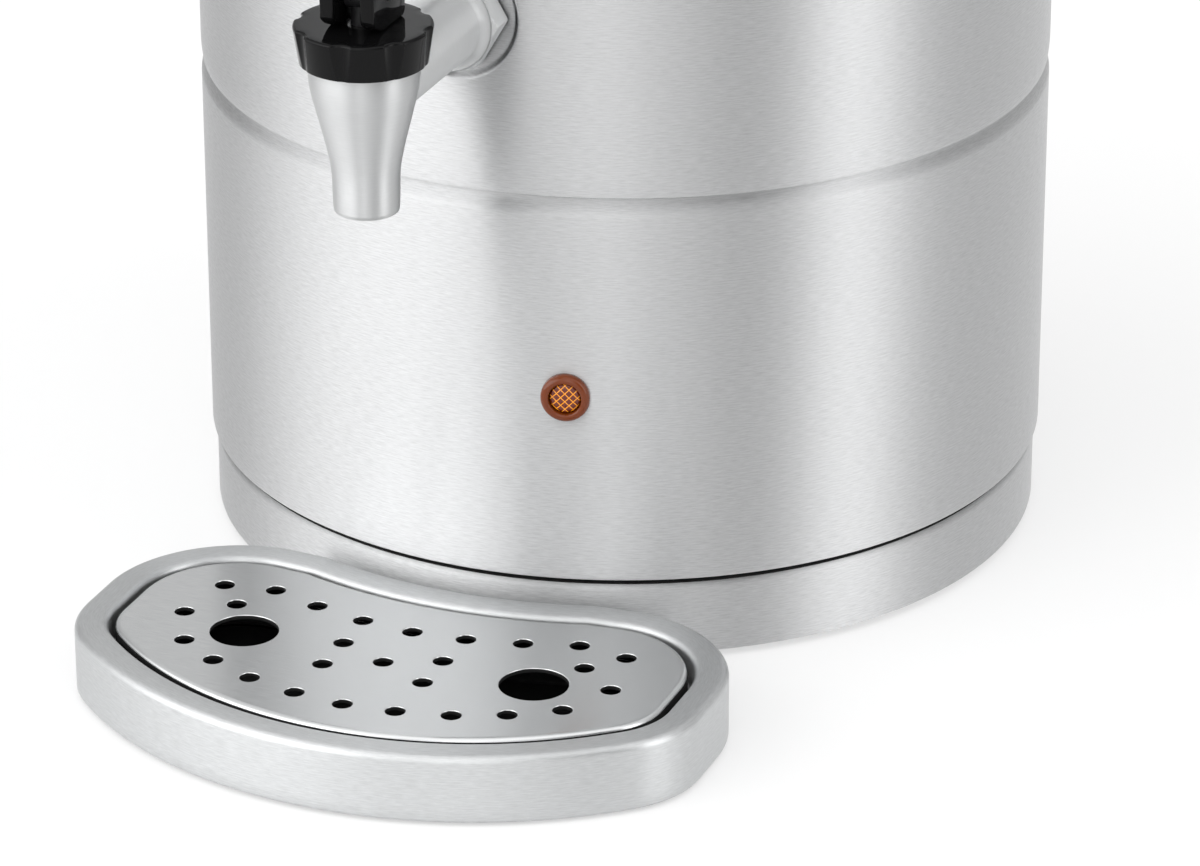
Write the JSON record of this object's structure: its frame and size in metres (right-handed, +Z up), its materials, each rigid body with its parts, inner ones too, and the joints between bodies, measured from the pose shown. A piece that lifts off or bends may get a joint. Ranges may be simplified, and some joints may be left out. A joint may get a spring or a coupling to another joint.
{
  "type": "hot water urn",
  "caption": "Double-walled steel hot water urn with lift-off lid, side handles, pilot lamp, lever tap with shank, and a loose drip tray with grid plate.",
  "frame": {"origin": "on the standing plane, on the axis of the urn's round body, at the middle of the four feet", "axes": "+Z up along the body's axis, -Y towards the tap and the drip tray, +X to the right as seen from the front"},
  "size_m": [0.341, 0.3457, 0.484],
  "materials": {
    "brushed_steel": "fine horizontal brushing",
    "polished_steel": "polished",
    "cast_steel": "satin, cast and polished",
    "tank_steel": "satin",
    "black_gloss": "glossy",
    "black_matte": "matte",
    "black_rubber": "matte",
    "silicone": "translucent grey",
    "amber": "clear amber",
    "red_gloss": "glossy",
    "brass": "satin",
    "aluminium": "cast",
    "element_steel": "heat-dulled",
    "ceramic": "matte",
    "zinc_steel": "zinc plated"
  },
  "bodies": {
    "urn": {"base_ring": "brushed_steel", "bottom_cover": "zinc_steel", "rubber_feet": "black_rubber", "bottom_screws": "zinc_steel", "outer_shell": "brushed_steel", "inner_tank": "tank_steel", "rim_ring": "polished_steel", "heater_plate": "aluminium", "heating_element": "element_steel", "thermostat": "ceramic", "thermal_cutout": "ceramic", "mains_inlet": "black_matte", "inlet_pins": "brass", "inlet_screws": "zinc_steel", "switch_housing": "black_matte", "pilot_lens": "amber", "pilot_body": "black_matte", "pilot_nut": "zinc_steel", "handle_left": "black_gloss", "handle_right": "black_gloss", "handle_screws": "zinc_steel", "tap_body": "cast_steel", "outer_gasket": "black_rubber", "wall_spacer": "cast_steel", "inner_gasket": "silicone", "lock_nut": "cast_steel", "tap_bonnet": "black_gloss", "valve_spring": "zinc_steel"},
    "rocker": {"switch_rocker": "red_gloss"},
    "valve": {"valve_stem": "zinc_steel", "seat_cup": "silicone", "lever_pin": "zinc_steel"},
    "lever": {"tap_lever": "black_gloss"},
    "lid": {"lid_cap": "brushed_steel", "lid_liner": "tank_steel", "lid_knob": "black_gloss", "knob_screw": "zinc_steel"},
    "tray": {"tray_basin": "brushed_steel", "tray_feet": "black_rubber"},
    "grid": {"tray_grid": "polished_steel"}
  },
  "joints": [
    {"name": "lid_lift", "type": "slide", "parent": "urn", "child": "lid", "axis": [0, 0, 1], "range_m": [0, 0.12]},
    {"name": "switch_rock", "type": "hinge", "parent": "urn", "child": "rocker", "pos_m": [0, 0.1185, 0.098], "axis": [1, 0, 0], "range_deg": [0, 12]},
    {"name": "stem_lift", "type": "slide", "parent": "urn", "child": "valve", "axis": [0, 0, 1], "range_m": [0, 0.0025], "deforming": ["valve_spring"]},
    {"name": "lever_tilt", "type": "hinge", "parent": "valve", "child": "lever", "pos_m": [0, -0.177, 0.2125], "axis": [1, 0, 0], "range_deg": [0, 50], "stiffness_Nm_per_rad": 0.15, "springref_deg": -20.05},
    {"name": "tray_pull", "type": "slide", "parent": "urn", "child": "tray", "axis": [0, -1, 0], "range_m": [0, 0.15]},
    {"name": "grid_lift", "type": "slide", "parent": "tray", "child": "grid", "axis": [0, 0, 1], "range_m": [0, 0.06]}
  ],
  "couplings": [
    {"joint": "stem_lift", "follows": "lever_tilt", "m_per_rad": 0.0028648}
  ]
}
